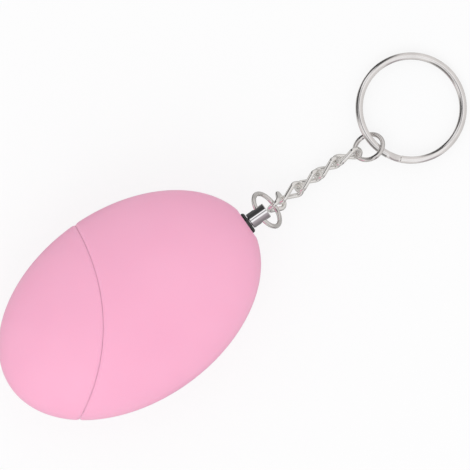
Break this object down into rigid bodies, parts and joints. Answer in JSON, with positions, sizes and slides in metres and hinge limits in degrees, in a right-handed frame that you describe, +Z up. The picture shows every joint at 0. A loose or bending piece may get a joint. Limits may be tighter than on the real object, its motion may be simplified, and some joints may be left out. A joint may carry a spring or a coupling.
{
  "type": "personal safety alarm",
  "caption": "Egg-shaped pocket siren with a pull pin, sounded by drawing the pin out, on a twisted curb chain and a split key ring.",
  "frame": {"origin": "middle of the flat rest land on the back of the egg, on the surface that it lies on", "axes": "+X from the egg towards the pin, chain and key ring; +Y across the egg; +Z up through its face"},
  "size_m": [0.1169, 0.0418, 0.0284],
  "materials": {
    "pink_plastic": "satin",
    "black_plastic": "matte",
    "chrome": "polished",
    "nickel": "nickel plated",
    "screw_steel": "zinc plated",
    "contact_brass": "bare",
    "ceramic_white": "silvered ceramic",
    "board_green": "solder resist",
    "lead_red": "wire insulation",
    "ferrite": "ferrite",
    "copper_wire": "enamelled copper wire"
  },
  "bodies": {
    "case": {"front_shell": "pink_plastic", "back_shell": "pink_plastic", "case_screws": "screw_steel", "pin_socket": "black_plastic", "circuit_board": "board_green", "board_screws": "screw_steel", "switch_clip": "contact_brass", "fixed_contact": "contact_brass", "siren_disc": "contact_brass", "siren_ceramic": "ceramic_white", "battery_holder": "black_plastic", "cell_1": "screw_steel", "cell_2": "screw_steel", "cell_3": "screw_steel", "plus_plate": "screw_steel", "minus_spring": "screw_steel", "battery_leads": "lead_red", "siren_leads": "contact_brass", "coil_core": "ferrite", "coil_winding": "copper_wire", "control_chip": "black_plastic", "transistor": "black_plastic", "resistors": "black_plastic"},
    "cover": {"battery_cover": "pink_plastic"},
    "pin": {"pull_pin": "chrome"},
    "contact": {"moving_contact": "contact_brass"},
    "ring": {"jump_ring": "nickel"},
    "first_link": {"link_1": "nickel"},
    "second_link": {"link_2": "nickel"},
    "third_link": {"link_3": "nickel"},
    "fourth_link": {"link_4": "nickel"},
    "fifth_link": {"link_5": "nickel"},
    "small_ring": {"end_ring": "nickel"},
    "split_ring": {"key_ring": "nickel"}
  },
  "joints": [
    {"name": "cover_slide", "type": "slide", "parent": "case", "child": "cover", "axis": [-0.8211, 0.5707, 0], "range_m": [0, 0.016]},
    {"name": "pin_slide", "type": "slide", "parent": "case", "child": "pin", "axis": [1, 0, 0], "range_m": [0, 0.018]},
    {"name": "contact_hinge", "type": "hinge", "parent": "case", "child": "contact", "pos_m": [0.009, -0.00104, 0.014], "axis": [0, 0, 1], "range_deg": [0, 7.2]},
    {"name": "ring_swing", "type": "hinge", "parent": "pin", "child": "ring", "pos_m": [0.0339, 0, 0.014], "axis": [0, 1, 0], "range_deg": [-150, 45]},
    {"name": "link_1_swing", "type": "hinge", "parent": "ring", "child": "first_link", "pos_m": [0.03761, 0, 0.00701], "axis": [0, -1, 0], "range_deg": [-60, 60]},
    {"name": "link_2_swing", "type": "hinge", "parent": "first_link", "child": "second_link", "pos_m": [0.03986, 0, 0.0026], "axis": [-0.0622, 0.9976, -0.0316], "range_deg": [-45, 60]},
    {"name": "link_3_swing", "type": "hinge", "parent": "second_link", "child": "third_link", "pos_m": [0.0437, 0, 0.00205], "axis": [0, -0.7314, 0.682], "range_deg": [-60, 60]},
    {"name": "link_4_swing", "type": "hinge", "parent": "third_link", "child": "fourth_link", "pos_m": [0.04973, 0, 0.00205], "axis": [0, 0.7771, 0.6293], "range_deg": [-60, 60]},
    {"name": "link_5_swing", "type": "hinge", "parent": "fourth_link", "child": "fifth_link", "pos_m": [0.05362, 0.00024, 0.00204], "axis": [-0.1711, -0.7351, 0.6561], "range_deg": [-60, 45]},
    {"name": "end_ring_swing", "type": "hinge", "parent": "fifth_link", "child": "small_ring", "pos_m": [0.0595, -0.0011, 0.00207], "axis": [-0.1645, -0.7366, -0.6561], "range_deg": [-60, 60]},
    {"name": "key_ring_swing", "type": "hinge", "parent": "small_ring", "child": "split_ring", "pos_m": [0.0625, -0.0014, 0.00225], "axis": [0, -0.866, -0.5], "range_deg": [-75, 75]}
  ],
  "couplings": [
    {"joint": "contact_hinge", "follows": "pin_slide", "rad_per_m": 6.9778}
  ]
}
